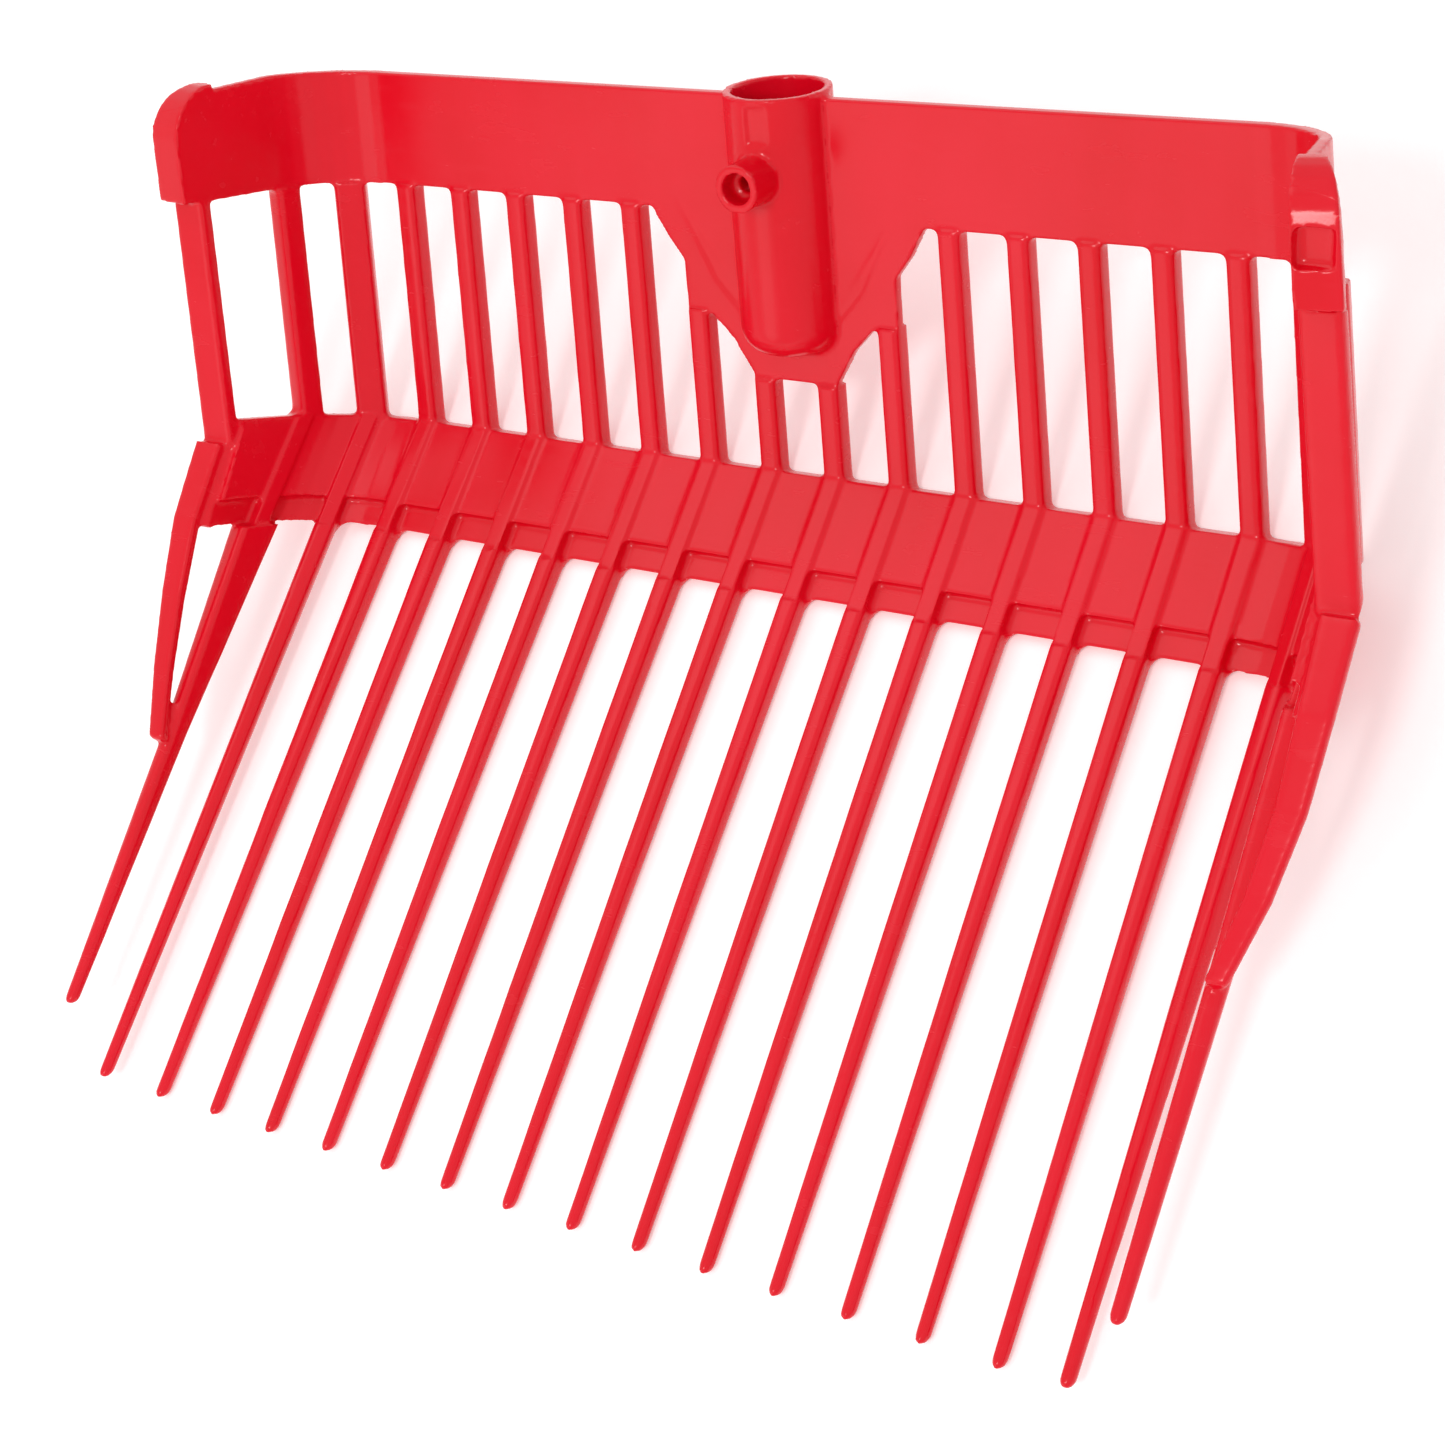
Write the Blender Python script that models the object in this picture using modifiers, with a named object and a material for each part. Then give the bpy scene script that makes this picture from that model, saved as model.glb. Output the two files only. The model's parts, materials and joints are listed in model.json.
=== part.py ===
"""Head of a plastic stall fork: tines on a heel band, a slatted back wall, raised sides and a handle socket.

Metres, +Z up, +X to the right, the tines pointing to -Y. The head lies on its tines and heel, at z = 0.
The origin is the middle of the heel band's underside.
The cross-section is a bow: flat in the middle, then a curved corner and a steep side at each end.
The tines and the heel follow that bow on the floor, and the slats and the top rail follow it up the wall.
"""

import math

import bmesh
import bpy
from mathutils import Vector

# Bowed cross-section
MEMBERS = 18  # tines, and slats in line with them
PITCH = 0.0215  # between neighbours, along the bow
FLAT_HALF = 0.146  # half the flat middle
CORNER_RADIUS = 0.028
SIDE_TURN = math.radians(80)  # how far each side turns up
MID_HEIGHT = 0.004  # from the floor to the middle of the section
LEAN = 0.63  # how far forward the root line and the heel move for each metre they rise

# Heel band, between the root line of the tines and the foot of the wall
HEEL_DEPTH = 0.0395
WALL_ANGLE = math.radians(48)  # the wall's rise from the floor
WALL_RISE = math.sin(WALL_ANGLE)
WALL_BACK = math.cos(WALL_ANGLE)
WALL_FOOT_RISE = (WALL_RISE - LEAN * WALL_BACK) / (LEAN * WALL_RISE + WALL_BACK)
BAND_TOP = 0.0022  # above the middle of the section
SIDE_UNDER = -0.002  # outer face of the side plates
LIP_DEPTH = 0.009  # thinner edge between the tines' roots
LIP_TOP = -0.0006
RIB_TOP = 0.0031
RIB_WIDTH = 0.0056
STEP_RUN = 0.0007  # slope of the step between lip and band

# Tines
TINE_LENGTH = 0.192
TINE_ROOT = (0.0066, 0.0074)  # width, height
TINE_MIDDLE = (0.0052, 0.0060)
TINE_TIP = (0.0037, 0.0039)
TINE_MIDDLE_AT = 0.45  # share of the length
CORNER_TINE_LENGTH = 0.189
CORNER_TINE_INSET = 0.002
OUTER_TINE_LENGTH = 0.1605
OUTER_TINE_ROOT = (0.0125, 0.0080)
OUTER_TINE_MIDDLE = (0.0062, 0.0056)
OUTER_TINE_DROP = 0.0053  # its tip below its root
OUTER_TINE_INSET = 0.0015  # its tip nearer the centre

# Wall slats and top rail
SLAT_WIDTH = 0.0069
CORNER_SLAT_WIDTH = 0.0100  # second from each side
OUTER_SLAT_WIDTH = 0.0085
SLAT_DEPTH = 0.0072
SLAT_FRONT = 0.0032  # in front of the middle of the section
WALL_NARROWING = 0.40  # loss of width per metre up the wall
RAIL_FOOT = 0.078
RAIL_FOOT_RISE = 0.12  # the foot climbs this much per metre of bow
RAIL_TOP = 0.1125
RAIL_TOP_RISE = 0.13
RAIL_BACK = -0.0015
RAIL_FRONT = 0.0022

# Raised sides
SIDE_TOP_FRONT = 0.0363  # top of the side plate at the root line, above the middle of the section
SIDE_TOP_REAR = 0.0398  # and at the side rail's rear end
SIDE_RAIL_FRONT = -0.090
SIDE_RAIL_ASIDE = (0.0070, 0.0010)  # outboard of the side plate, and of the outer tine
SIDE_RAIL_BULGE = 0.0025  # further outboard between its ends
SIDE_RAIL_SAG = 0.0012
SIDE_RAIL_LIFT = 0.0004  # clear of the outer tine
SIDE_RAIL_REAR_SIZE = (0.0105, 0.0043)  # width, height
SIDE_RAIL_FRONT_SIZE = (0.0060, 0.0034)
POST_FRONT = 0.055  # in front of the wall's middle plane
POST_DEPTH = 0.005
POST_WIDTH = 0.0118
POST_FOOT_HEIGHT = 0.0412
END_FRONT = 0.0608
END_DEPTH = 0.0040
END_WIDTH = 0.0125
END_CORNER = 0.0115  # radius of the panel's corner, which the flange follows
END_TOP_DEPTH = 0.0015  # the flange narrows to this as it turns over the top
END_TOP_WIDTH = 0.0065
POCKET_SIZE = 0.0095
POCKET_DEPTH = 0.0022
POCKET_SIDE = 1  # only the right end has a pocket

# Handle socket
SOCKET_RADIUS = 0.0155
BORE_RADIUS = 0.0130
BORE_FOOT_RADIUS = 0.0122
SOCKET_FOOT = 0.0390  # up the wall
SOCKET_TOP = 0.1145
SOCKET_FLOOR = 0.0085
SOCKET_END_ROUND = 0.008
BOSS_RADIUS = 0.0068
BOSS_HEIGHT = 0.0105  # beyond the socket's face
BOSS_AT = 0.0925  # up the wall
SCREW_HOLE_RADIUS = 0.0024
SCREW_HEAD_RADIUS = 0.0044
SCREW_HEAD_DEPTH = 0.0060
WINDOW_WIDTH = 0.0085  # shallow panel in the socket's face
WINDOW_ASIDE = 0.002
WINDOW_FOOT = 0.1015
WINDOW_TOP = 0.1125
WINDOW_DEPTH = 0.0009
WEB_TOP_ASIDE = 0.00412  # from the web's top corner to the slat beside it
WEB_SLAT = 3  # the slat, counted from the centre in half pitches, that the web swallows
WEB_SLAT_TOP = 0.0485
WEB_SHOULDER = 0.063
WEB_WAIST = 0.0200
WEB_WAIST_UP = 0.0400
WEB_HOLLOW = 0.0012  # how far the slanted edge bows in
WEB_FOOT_HALF = 0.0136
WEB_FOOT = 0.0290
WEB_ARC_STEPS = 4  # facets where the web follows the socket's rounded foot

CORNER_STEPS = 8  # facets round each corner of the bow
SIDE_RAIL_STEPS = 3
ROUNDING_SEGMENTS = 2
TURN_STEPS = 6  # facets round a quarter turn
CUT_OVERSHOOT = 0.002
SOCKET_SIDES = 40
BOSS_SIDES = 32
HOLE_SIDES = 24
MERGE_DISTANCE = 0.00005
GAP = 0.0003
SOCKET_GAP = 0.0004
RED = (0.78, 0.02, 0.04, 1.0)
ROUGHNESS = 0.25


def clear_scene():
    for obj in list(bpy.data.objects):
        bpy.data.objects.remove(obj)


def make_collection(name):
    collection = bpy.data.collections.new(name)
    bpy.context.scene.collection.children.link(collection)
    return collection


clear_scene()
PARTS = make_collection("stall_fork_head")
CUTTERS = make_collection("cutters")
CUTTERS.hide_render = True


def make_frame(name, location, rotation):
    frame = bpy.data.objects.new(name, None)
    frame.location = location
    frame.rotation_euler = rotation
    PARTS.objects.link(frame)
    return frame


# The floor frame starts at the tines' root line and the wall frame at the heel.
# In the wall's own frame, local Z runs up the wall and local -Y is its front.
FLOOR = make_frame("floor_frame", (0, -HEEL_DEPTH / 2, MID_HEIGHT), (0, 0, 0))
WALL = make_frame("wall_frame", (0, HEEL_DEPTH / 2, MID_HEIGHT), (WALL_ANGLE - math.pi / 2, 0, 0))


def plastic(name):
    material = bpy.data.materials.new(name)
    material.use_nodes = True
    shader = material.node_tree.nodes["Principled BSDF"]
    shader.inputs["Base Color"].default_value = RED
    shader.inputs["Roughness"].default_value = ROUGHNESS
    shader.inputs["Metallic"].default_value = 0.0
    return material


def add_object(name, mesh, frame, collection=PARTS):
    obj = bpy.data.objects.new(name, mesh)
    obj.parent = frame
    collection.objects.link(obj)
    if collection is PARTS:
        mesh.materials.append(plastic(name))
        mesh.shade_smooth()
        mesh.set_sharp_from_angle(angle=math.radians(35))
    else:
        obj.hide_render = True
        obj.display_type = "WIRE"
    return obj


def finish_mesh(shape, name):
    bmesh.ops.recalc_face_normals(shape, faces=shape.faces)
    mesh = bpy.data.meshes.new(name)
    shape.to_mesh(mesh)
    shape.free()
    return mesh


def loft(name, rings, frame, rounding=0.0, rounded_ends=(False, False)):
    """A solid through outlines of equal length, rounded along it and round the ends that ask for it."""
    shape = bmesh.new()
    weight = shape.edges.layers.float.new("bevel_weight_edge")
    rows = [[shape.verts.new(point) for point in ring] for ring in rings]
    count = len(rows[0])
    for row, following in zip(rows, rows[1:]):
        for i in range(count):
            j = (i + 1) % count
            face = shape.faces.new((row[i], row[j], following[j], following[i]))
            for edge in face.edges:
                if set(edge.verts) == {row[i], following[i]}:
                    edge[weight] = 1.0
    for row, rounded in ((rows[0], rounded_ends[0]), (rows[-1], rounded_ends[1])):
        cap = shape.faces.new(row)
        for edge in cap.edges:
            edge[weight] = float(rounded)
    obj = add_object(name, finish_mesh(shape, name), frame)
    if rounding:
        bevel = obj.modifiers.new("rounding", "BEVEL")
        bevel.width = rounding
        bevel.segments = ROUNDING_SEGMENTS
        bevel.limit_method = "WEIGHT"
    return obj


def bow(run, lift=0.0, aside=0.0):
    """(x, out) on the bow: run along it from the centre, lift off its middle, aside along its tangent."""
    past = max(0.0, abs(run) - FLAT_HALF)
    tilt = min(past / CORNER_RADIUS, SIDE_TURN)
    straight = past - tilt * CORNER_RADIUS
    x = min(abs(run), FLAT_HALF) + CORNER_RADIUS * math.sin(tilt) + straight * math.cos(tilt)
    out = CORNER_RADIUS * (1 - math.cos(tilt)) + straight * math.sin(tilt)
    side = math.copysign(1.0, run)
    x += side * aside * math.cos(tilt) - lift * math.sin(tilt)
    out += side * aside * math.sin(tilt) + lift * math.cos(tilt)
    return side * x, out


def run_to_height(height):
    """The distance along the bow at which its side is this high."""
    corner_height = CORNER_RADIUS * (1 - math.cos(SIDE_TURN))
    return FLAT_HALF + CORNER_RADIUS * SIDE_TURN + (height - corner_height) / math.sin(SIDE_TURN)


def member_run(number):
    return (number - (MEMBERS + 1) / 2) * PITCH


def narrowed(up):
    return 1 - WALL_NARROWING * up


def floor_point(x, out, back):
    """In the floor frame, at this distance back from the leaning root line."""
    return Vector((x, back - LEAN * out, out))


def wall_point(x, out, up):
    return Vector((x * narrowed(up), -out, up))


def side_name(side):
    return "right" if side > 0 else "left"


def make_tine(number):
    """A straight tapered tine with a flat underside and rounded edges."""
    run = member_run(number)
    outer = number in (1, MEMBERS)
    corner = number in (2, MEMBERS - 1)
    length = OUTER_TINE_LENGTH if outer else CORNER_TINE_LENGTH if corner else TINE_LENGTH
    sizes = (OUTER_TINE_ROOT, OUTER_TINE_MIDDLE, TINE_TIP) if outer else (TINE_ROOT, TINE_MIDDLE, TINE_TIP)
    toe_in = OUTER_TINE_INSET if outer else CORNER_TINE_INSET if corner else 0.0
    under = -MID_HEIGHT
    rings = []
    for share, (width, height) in zip((0.0, TINE_MIDDLE_AT, 1.0), sizes):
        low = -height / 2 if outer else under
        high = low + height
        drop = OUTER_TINE_DROP * share if outer else 0.0
        inset = math.copysign(toe_in, run) * share
        ring = []
        for aside, lift in ((-width, low), (width, low), (width, high), (-width, high)):
            x, out = bow(run, lift, aside / 2)
            root = floor_point(x, out, -GAP)
            ring.append(root + Vector((-inset, -length * share, -drop)))
        rings.append(ring)
    return loft(f"tine_{number:02d}", rings, FLOOR, rounding=0.0018, rounded_ends=(False, True))


def slat_top(number):
    """How far up the wall a slat ends: at the rail, at the web, or under the socket."""
    halves = abs(2 * number - MEMBERS - 1)
    if halves < WEB_SLAT:
        return WEB_FOOT - GAP
    if halves == WEB_SLAT:
        return WEB_SLAT_TOP - GAP
    return RAIL_FOOT - GAP


def make_slat(number):
    run = member_run(number)
    outer = number in (1, MEMBERS)
    corner = number in (2, MEMBERS - 1)
    half = (OUTER_SLAT_WIDTH if outer else CORNER_SLAT_WIDTH if corner else SLAT_WIDTH) / 2
    back = SLAT_FRONT - SLAT_DEPTH
    corners = ((-half, back), (half, back), (half, SLAT_FRONT), (-half, SLAT_FRONT))
    places = [bow(run, lift, aside) for aside, lift in corners]
    foot = [wall_point(x, out, WALL_FOOT_RISE * out + GAP) for x, out in places]
    under_rail = slat_top(number) == RAIL_FOOT - GAP
    rise = RAIL_FOOT_RISE if under_rail else 0.0
    head = [wall_point(x, out, slat_top(number) + rise * out) for x, out in places]
    return loft(f"wall_slat_{number:02d}", [foot, head], WALL, rounding=0.0015)


def band_outline(runs, plate_top, under):
    """The band's section through these runs: its underside, then its top with a rib over each member."""
    half = RIB_WIDTH / 2
    ribs = [member_run(i) for i in range(1, MEMBERS + 1)]
    ribs = [rib for rib in ribs if runs[0] < rib < runs[-1]]
    top = [(run, plate_top) for run in runs if all(abs(run - rib) > half for rib in ribs)]
    for rib in ribs:
        left, right = rib - half, rib + half
        top += [(left, plate_top), (left, RIB_TOP), (right, RIB_TOP), (right, plate_top)]
    top.sort(key=lambda point: point[0])
    return [bow(run, under(run)) for run in runs] + [bow(run, lift) for run, lift in reversed(top)]


def band_depths():
    """(back, plate top) at each ring of the band: the thin lip, the step and the plate."""
    return (
        (0.0, LIP_TOP),
        (LIP_DEPTH, LIP_TOP),
        (LIP_DEPTH + STEP_RUN, BAND_TOP),
        (HEEL_DEPTH - GAP, BAND_TOP),
    )


def make_heel_band():
    rings = []
    for back, top in band_depths():
        outline = band_outline((-FLAT_HALF, FLAT_HALF), top, lambda run: -MID_HEIGHT)
        rings.append([floor_point(x, out, back) for x, out in outline])
    return loft("heel_band", rings, FLOOR)


def post_foot(out):
    """(y in the floor frame, up the wall) of the post's foot at this distance in front of the wall."""
    up = (POST_FOOT_HEIGHT - out * WALL_BACK) / WALL_RISE
    return HEEL_DEPTH + up * WALL_BACK - out * WALL_RISE, up


def side_plate_knots():
    """(back, height) of the side plate's top: under the side rail and the post, then up its back."""
    under_post = POST_FOOT_HEIGHT - GAP
    post_back = POST_FRONT - POST_DEPTH
    wall_height = post_back / (WALL_BACK + LEAN * WALL_RISE) - 2 * GAP
    return (
        (0.0, SIDE_TOP_FRONT),
        (post_foot(POST_FRONT)[0] - GAP + LEAN * SIDE_TOP_REAR, SIDE_TOP_REAR),
        (post_foot(post_back)[0] + LEAN * under_post, under_post),
        (HEEL_DEPTH, wall_height),
    )


def side_plate_height(back):
    knots = side_plate_knots()
    for (near, low), (far, high) in zip(knots, knots[1:]):
        if back <= far:
            return low + (high - low) * (back - near) / (far - near)
    return knots[-1][1]


def make_heel_corner(side):
    """The band carried round the bow's corner and up the side."""

    def under(run):
        share = min(1.0, (run - FLAT_HALF) / (CORNER_RADIUS * SIDE_TURN))
        return -MID_HEIGHT + (SIDE_UNDER + MID_HEIGHT) * share

    depths = list(band_depths())
    depths[3:3] = [(back, BAND_TOP) for back, _ in side_plate_knots()[1:3]]
    arc = CORNER_RADIUS * SIDE_TURN
    round_runs = [FLAT_HALF + GAP + (arc - GAP) * i / CORNER_STEPS for i in range(CORNER_STEPS + 1)]
    rings = []
    for back, top in depths:
        runs = round_runs + [run_to_height(side_plate_height(back))]
        outline = band_outline(runs, top, under)
        rings.append([floor_point(side * x, out, back) for x, out in outline])
    return loft(f"heel_corner_{side_name(side)}", rings, FLOOR)


def outer_tine_top(y):
    """(x, top) of the outer tine at this y, in the floor frame."""
    x, root_out = bow(member_run(MEMBERS))
    share = (-y - LEAN * root_out) / OUTER_TINE_LENGTH
    root, middle, tip = OUTER_TINE_ROOT[0], OUTER_TINE_MIDDLE[0], TINE_TIP[0]
    width = root + (middle - root) * share / TINE_MIDDLE_AT
    if share > TINE_MIDDLE_AT:
        width = middle + (tip - middle) * (share - TINE_MIDDLE_AT) / (1 - TINE_MIDDLE_AT)
    return x - OUTER_TINE_INSET * share, root_out + width / 2 - OUTER_TINE_DROP * share


def side_rail_rings(side):
    """The flange on top of the side plate, running down to the outer tine."""
    plate_x, _ = bow(run_to_height(SIDE_TOP_REAR))
    tine_x, tine_top = outer_tine_top(SIDE_RAIL_FRONT)
    rear = (post_foot(POST_FRONT)[0] - GAP, plate_x + SIDE_RAIL_ASIDE[0], SIDE_TOP_REAR + GAP)
    plate_end = (-LEAN * SIDE_TOP_FRONT, plate_x + SIDE_RAIL_ASIDE[0], SIDE_TOP_FRONT + 2 * GAP)
    front = (SIDE_RAIL_FRONT, tine_x + SIDE_RAIL_ASIDE[1], tine_top + SIDE_RAIL_LIFT)
    knots = [rear, plate_end]
    for i in range(1, SIDE_RAIL_STEPS + 1):
        share = i / SIDE_RAIL_STEPS
        y, x, bottom = (a + (b - a) * share for a, b in zip(plate_end, front))
        arch = 4 * share * (1 - share)
        knots.append((y, x + SIDE_RAIL_BULGE * arch, bottom - SIDE_RAIL_SAG * arch))
    rings = []
    for y, x, bottom in knots:
        share = (rear[0] - y) / (rear[0] - SIDE_RAIL_FRONT)
        width, height = (a + (b - a) * share for a, b in zip(SIDE_RAIL_REAR_SIZE, SIDE_RAIL_FRONT_SIZE))
        corners = ((-width, 0.0), (width, 0.0), (width, height), (-width, height))
        rings.append([Vector((side * x + dx / 2, y, bottom + dz)) for dx, dz in corners])
    return rings


def make_side_rail(side):
    return loft(f"side_rail_{side_name(side)}", side_rail_rings(side), FLOOR, 0.0012, (False, True))


def make_side_post(side):
    """The upright at the wall's front edge, from the side plate to the rail."""
    back = POST_FRONT - POST_DEPTH
    inner, _ = bow(run_to_height(POST_FRONT - POST_DEPTH / 2), lift=RAIL_FRONT)
    outer = inner + POST_WIDTH
    outlines = ((inner, back), (outer, back), (outer, POST_FRONT), (inner, POST_FRONT))
    foot, head = [], []
    for x, out in outlines:
        foot.append(wall_point(side * x, out, post_foot(out)[1]))
        head.append(wall_point(side * x, out, RAIL_FOOT + RAIL_FOOT_RISE * out - GAP))
    return loft(f"side_post_{side_name(side)}", [foot, head], WALL, rounding=0.0012)


def make_top_rail(side):
    """The flat half of the rail, from the socket to the corner."""
    rings = []
    for up in (RAIL_FOOT, RAIL_TOP):
        inner = (SOCKET_RADIUS + SOCKET_GAP) / narrowed(up)
        corners = ((inner, RAIL_BACK), (FLAT_HALF, RAIL_BACK), (FLAT_HALF, RAIL_FRONT), (inner, RAIL_FRONT))
        rings.append([wall_point(side * x, out, up) for x, out in corners])
    return loft(f"top_rail_{side_name(side)}", rings, WALL)


def end_run():
    """Where along the bow the rail's side panel ends."""
    return run_to_height(END_FRONT - END_DEPTH - GAP - RAIL_FRONT * math.cos(SIDE_TURN))


def panel_corner():
    """(run, up) of the centre of the panel's rounded corner, low enough for the flange to pass over it."""
    run = end_run() - END_CORNER
    _, out = bow(run)
    return run, RAIL_TOP + RAIL_TOP_RISE * out - END_TOP_DEPTH - GAP - END_CORNER


def make_rail_corner(side):
    """The rail carried round the bow's corner to its free end, whose top corner is rounded."""
    arc = CORNER_RADIUS * SIDE_TURN
    runs = [FLAT_HALF + GAP + (arc - GAP) * i / CORNER_STEPS for i in range(CORNER_STEPS + 1)]
    tops = [(run, RAIL_TOP + RAIL_TOP_RISE * bow(run)[1]) for run in runs]
    corner_run, corner_up = panel_corner()
    for i in range(TURN_STEPS + 1):
        angle = math.pi / 2 * i / TURN_STEPS
        tops.append((corner_run + END_CORNER * math.sin(angle), corner_up + END_CORNER * math.cos(angle)))
    rings = []
    for run, top in tops:
        ring = []
        for lift in (RAIL_BACK, RAIL_FRONT):
            x, out = bow(run, lift)
            levels = (RAIL_FOOT + RAIL_FOOT_RISE * bow(run)[1], top)
            ring += [wall_point(side * x, out, up) for up in (levels if lift == RAIL_BACK else levels[::-1])]
        rings.append(ring)
    return loft(f"rail_corner_{side_name(side)}", rings, WALL)


def box_cutter(name, low, high, frame):
    shape = bmesh.new()
    bmesh.ops.create_cube(shape, size=1.0)
    centre = (Vector(low) + Vector(high)) / 2
    size = Vector(high) - Vector(low)
    bmesh.ops.scale(shape, vec=size, verts=shape.verts)
    bmesh.ops.translate(shape, vec=centre, verts=shape.verts)
    return add_object(name, finish_mesh(shape, name), frame, CUTTERS)


def cylinder_cutter(name, radius, start, end, frame, sides=HOLE_SIDES):
    """A round cutter from start to end, two points on its axis."""
    shape = bmesh.new()
    axis = Vector(end) - Vector(start)
    bmesh.ops.create_cone(
        shape, cap_ends=True, segments=sides, radius1=radius, radius2=radius, depth=axis.length
    )
    turn = Vector((0, 0, 1)).rotation_difference(axis)
    bmesh.ops.rotate(shape, verts=shape.verts, cent=(0, 0, 0), matrix=turn.to_matrix())
    bmesh.ops.translate(shape, vec=(Vector(start) + Vector(end)) / 2, verts=shape.verts)
    return add_object(name, finish_mesh(shape, name), frame, CUTTERS)


def cut(obj, cutter):
    boolean = obj.modifiers.new(cutter.name, "BOOLEAN")
    boolean.operation = "DIFFERENCE"
    boolean.solver = "EXACT"
    boolean.object = cutter


def make_rail_end(side):
    """The flange along the panel's free edge, facing forward below and turning over the rounded corner."""
    corner_run, corner_up = panel_corner()
    inner = END_CORNER + GAP
    low = RAIL_FOOT + RAIL_FOOT_RISE * END_FRONT
    path = [(0.0, low - corner_up)]
    path += [(math.pi / 2 * i / TURN_STEPS, 0.0) for i in range(TURN_STEPS + 1)]
    rings = []
    for angle, drop in path:
        share = angle / (math.pi / 2)
        depth = END_DEPTH + (END_TOP_DEPTH - END_DEPTH) * share
        width = END_WIDTH + (END_TOP_WIDTH - END_WIDTH) * share**2
        ring = []
        for radius, lift in (
            (inner, RAIL_FRONT),
            (inner + depth, RAIL_FRONT),
            (inner + depth, RAIL_FRONT - width),
            (inner, RAIL_FRONT - width),
        ):
            x, out = bow(corner_run + radius * math.cos(angle), lift)
            ring.append(wall_point(side * x, out, corner_up + radius * math.sin(angle) + drop))
        rings.append(ring)
    obj = loft(f"rail_end_{side_name(side)}", rings, WALL)
    if side == POCKET_SIDE:
        face_run = corner_run + inner + END_DEPTH
        middle, out = bow(face_run, RAIL_FRONT - END_WIDTH / 2)
        middle *= side * narrowed(corner_up)
        half = POCKET_SIZE / 2
        low_corner = (middle - half, -out - POCKET_DEPTH, corner_up - POCKET_SIZE)
        high_corner = (middle + half, -out + POCKET_DEPTH, corner_up)
        cut(obj, box_cutter("pocket", low_corner, high_corner, WALL))
    return obj


def make_socket_web(side):
    """The tapering plate that ties the socket to the rail and to the slats beside and below it."""
    edge = SOCKET_RADIUS + SOCKET_GAP
    slat = abs(member_run((MEMBERS + 1 + WEB_SLAT) / 2)) * narrowed(WEB_SLAT_TOP)
    next_slat = abs(member_run((MEMBERS + 1 + WEB_SLAT) / 2 + 1)) * narrowed(RAIL_FOOT)
    top_half = next_slat - SLAT_WIDTH / 2 - WEB_TOP_ASIDE
    slat_out = slat + SLAT_WIDTH / 2
    slat_in = slat - SLAT_WIDTH / 2
    outline = [
        (edge, RAIL_FOOT - GAP),
        (top_half, RAIL_FOOT - GAP),
        ((top_half + slat_out) / 2, (RAIL_FOOT + WEB_SHOULDER) / 2 - WEB_HOLLOW),
        (slat_out, WEB_SHOULDER),
        (slat_out, WEB_SLAT_TOP),
        (slat_in, WEB_SLAT_TOP),
        (WEB_WAIST, WEB_WAIST_UP),
        (WEB_FOOT_HALF, WEB_FOOT),
        (GAP / 2, WEB_FOOT),
    ]
    for i in range(WEB_ARC_STEPS + 1):
        angle = math.pi / 2 * i / WEB_ARC_STEPS
        radius = SOCKET_END_ROUND + SOCKET_GAP
        x = SOCKET_RADIUS - SOCKET_END_ROUND + radius * math.sin(angle)
        up = SOCKET_FOOT + SOCKET_END_ROUND - radius * math.cos(angle)
        if i == 0:
            outline.append((GAP / 2, up))
        outline.append((x, up))
    rings = [[Vector((side * x, -out, up)) for x, up in outline] for out in (RAIL_BACK, RAIL_FRONT)]
    return loft(f"socket_web_{side_name(side)}", rings, WALL)


def make_socket():
    """A blind tube turned round the handle's axis, with the screw's hole and a shallow panel in its face."""
    profile = [(BORE_RADIUS, SOCKET_TOP), (SOCKET_RADIUS, SOCKET_TOP)]
    for i in range(TURN_STEPS + 1):
        angle = math.pi / 2 * i / TURN_STEPS
        radius = SOCKET_RADIUS - SOCKET_END_ROUND * (1 - math.cos(angle))
        profile.append((radius, SOCKET_FOOT + SOCKET_END_ROUND * (1 - math.sin(angle))))
    floor_up = SOCKET_FOOT + SOCKET_FLOOR
    profile += [(0.0, SOCKET_FOOT), (0.0, floor_up), (BORE_FOOT_RADIUS, floor_up)]
    shape = bmesh.new()
    verts = [shape.verts.new((radius, 0.0, up)) for radius, up in profile]
    for start, end in zip(verts, verts[1:] + verts[:1]):
        if not start.co.x == end.co.x == 0.0:
            shape.edges.new((start, end))
    mesh = bpy.data.meshes.new("handle_socket")
    shape.to_mesh(mesh)
    shape.free()
    obj = add_object("handle_socket", mesh, WALL)
    turned = obj.modifiers.new("turned", "SCREW")
    turned.steps = turned.render_steps = SOCKET_SIDES
    turned.use_merge_vertices = True
    turned.merge_threshold = MERGE_DISTANCE
    turned.use_normal_calculate = True
    outside = -SOCKET_RADIUS - CUT_OVERSHOOT
    hole = cylinder_cutter("screw_hole", SCREW_HOLE_RADIUS, (0, 0, BOSS_AT), (0, outside, BOSS_AT), WALL)
    half = WINDOW_WIDTH / 2
    face = WINDOW_DEPTH - SOCKET_RADIUS
    low_corner = (WINDOW_ASIDE - half, outside, WINDOW_FOOT)
    panel = box_cutter("panel", low_corner, (WINDOW_ASIDE + half, face, WINDOW_TOP), WALL)
    cut(obj, hole)
    cut(obj, panel)
    return obj


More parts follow.
